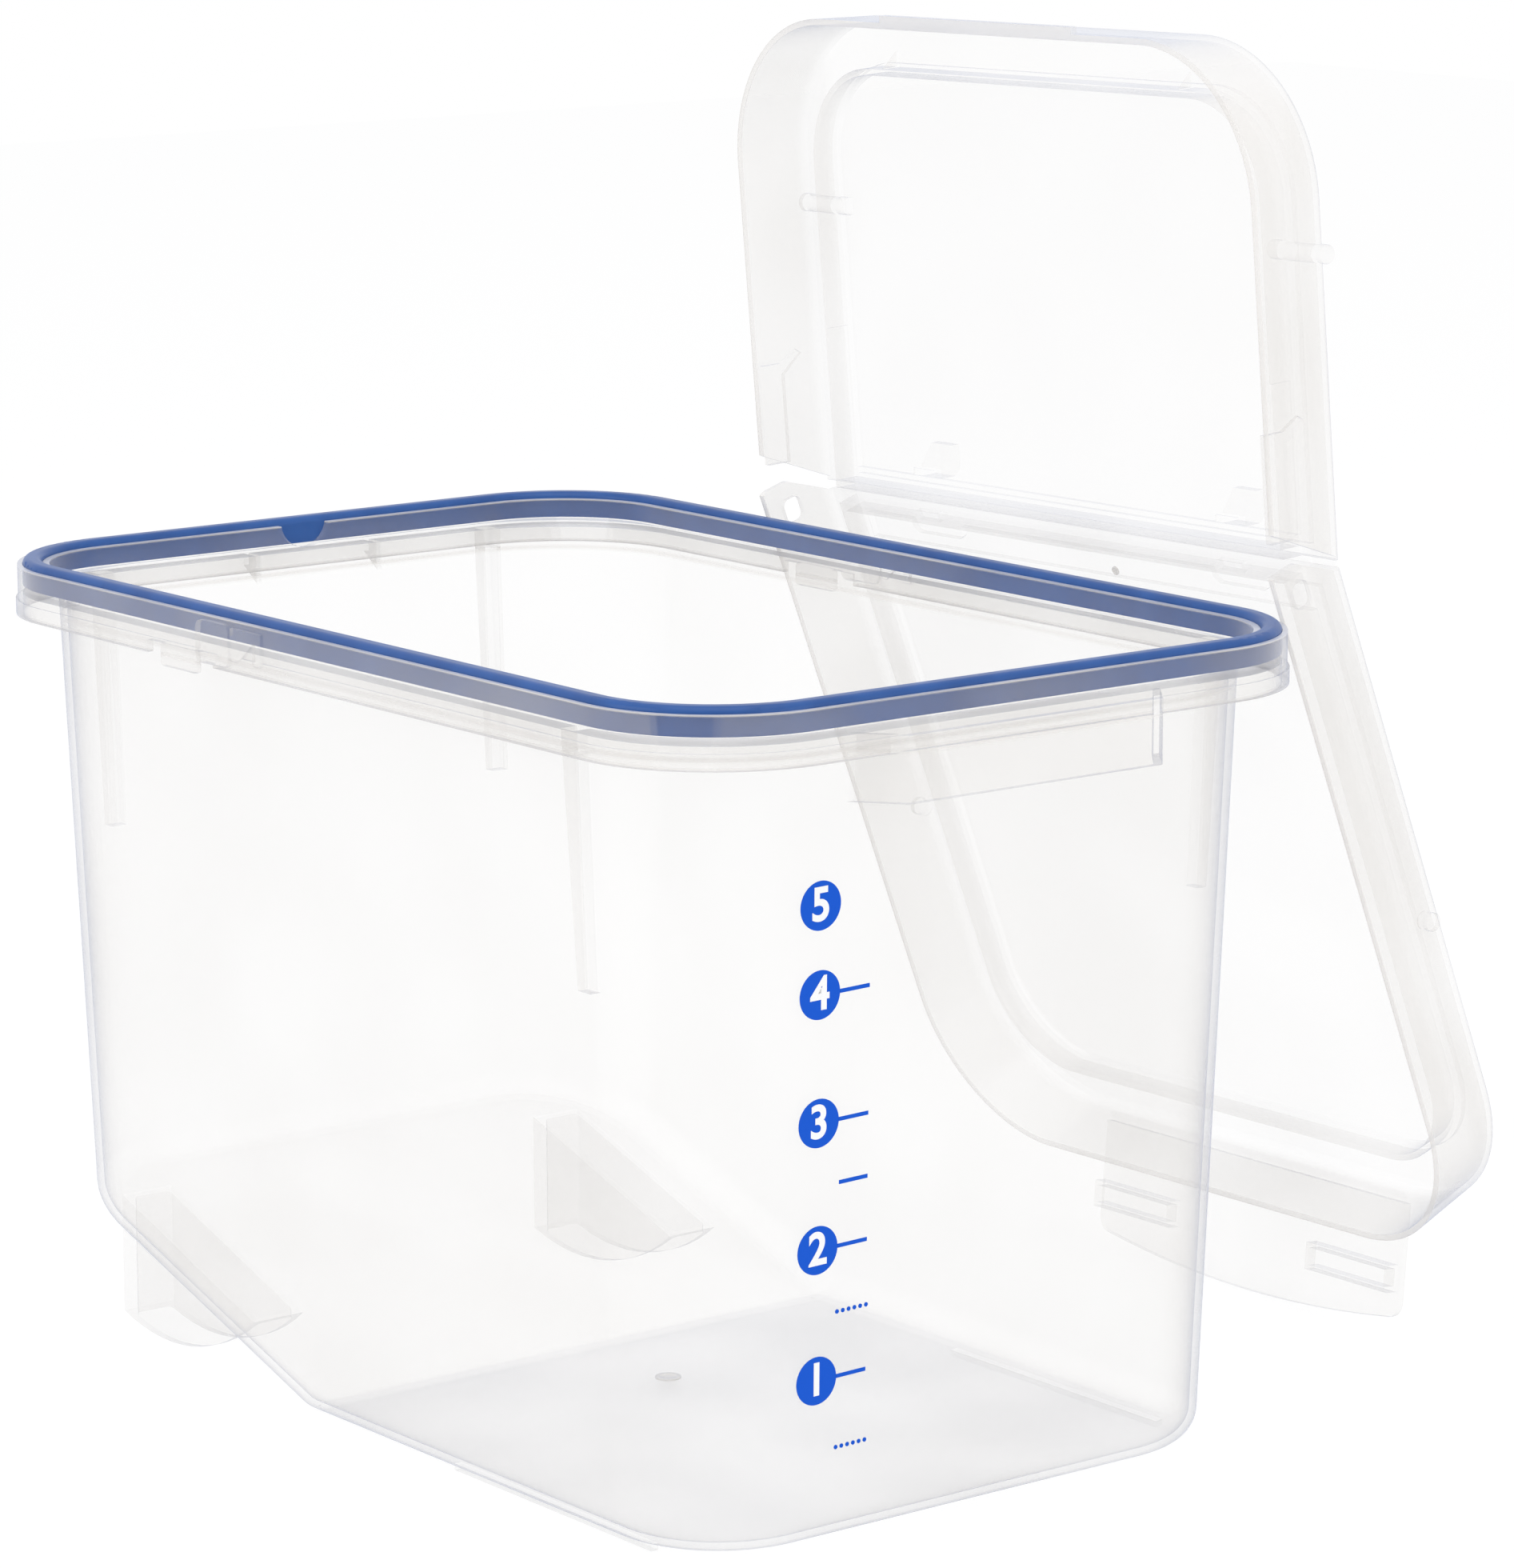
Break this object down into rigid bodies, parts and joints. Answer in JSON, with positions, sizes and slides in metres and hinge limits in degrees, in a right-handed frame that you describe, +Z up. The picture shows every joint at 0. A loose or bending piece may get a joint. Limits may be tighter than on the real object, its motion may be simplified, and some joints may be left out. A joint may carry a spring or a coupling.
{
  "type": "rice bin with flip lid",
  "caption": "Clear food bin with a sloped floor, rim seal, printed fill scale and a flip lid with a latch flap, standing open behind the bin.",
  "frame": {"origin": "centre of the bin's base on the floor plane, under the middle of the rim", "axes": "+Z up, -Y toward the printed front wall and handle, +X toward the side where the open lid stands"},
  "size_m": [0.2711, 0.2925, 0.3235],
  "materials": {
    "clear_plastic": "smooth translucent polypropylene",
    "seal_rubber": "soft satin elastomer",
    "print_ink": "printed ink"
  },
  "bodies": {
    "bin": {"bin_body": "clear_plastic", "gasket": "seal_rubber", "scale_discs": "print_ink", "scale_ticks": "print_ink"},
    "lid": {"front_lid": "clear_plastic", "lid_hinge": "clear_plastic", "latch_hinge": "clear_plastic"},
    "flip": {"flip_lid": "clear_plastic"},
    "latch": {"latch_flap": "clear_plastic"}
  },
  "joints": [
    {"name": "lid_lift", "type": "slide", "parent": "bin", "child": "lid", "axis": [0, 0, 1], "range_m": [0, 0.25]},
    {"name": "lid_flip", "type": "hinge", "parent": "lid", "child": "flip", "pos_m": [0.11321, -0.0276, 0.20143], "axis": [0.0225, 0.9996, -0.0169], "range_deg": [-16, 96]},
    {"name": "latch", "type": "hinge", "parent": "lid", "child": "latch", "pos_m": [0.17211, -0.03176, 0.03407], "axis": [-0.0225, -0.9996, 0.0169], "range_deg": [-50, 30]}
  ]
}
